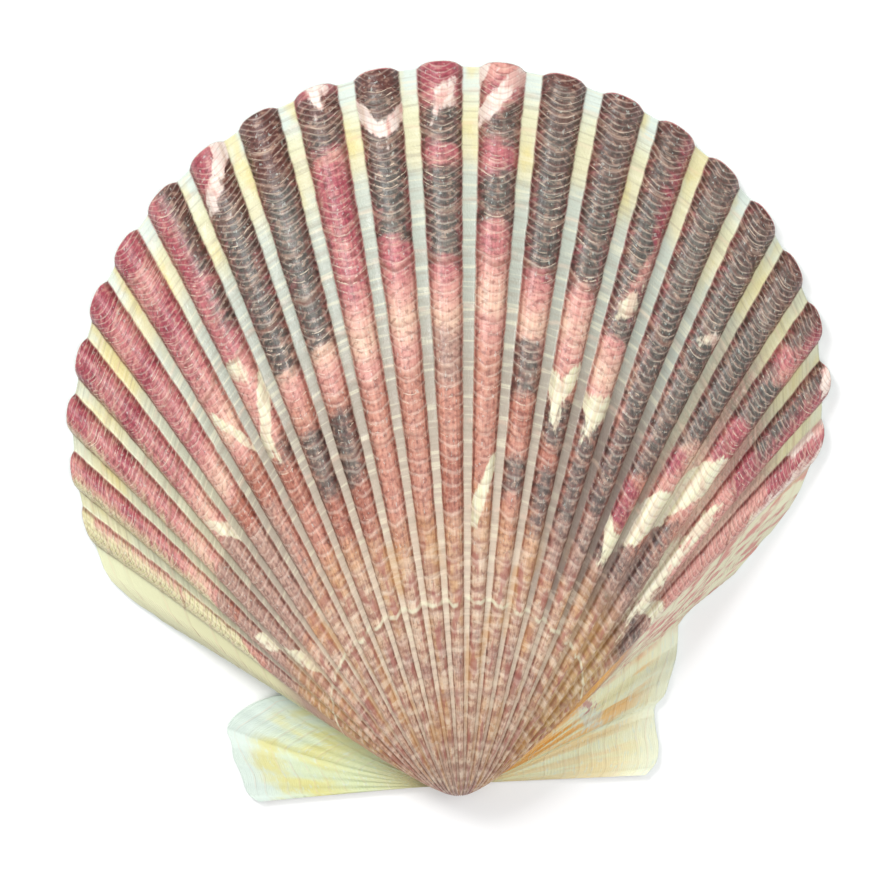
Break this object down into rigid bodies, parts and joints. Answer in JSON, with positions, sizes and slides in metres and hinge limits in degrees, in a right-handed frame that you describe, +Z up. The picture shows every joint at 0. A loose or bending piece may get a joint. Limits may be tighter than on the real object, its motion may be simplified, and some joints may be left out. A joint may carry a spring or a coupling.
{
  "type": "scallop shell",
  "caption": "Single domed scallop valve with rounded radial ribs, a scalloped margin, a pointed beak and an ear on each side of a straight hinge line.",
  "frame": {"origin": "middle of the shell's bounding box on the plane it rests on, outside up", "axes": "+X along the hinge line toward the wider ear, +Y from the beak to the far margin, +Z up out of the domed outside"},
  "size_m": [0.0662, 0.0634, 0.014],
  "materials": {
    "shell": "satin"
  },
  "bodies": {
    "root": {"valve": "shell"}
  },
  "joints": []
}
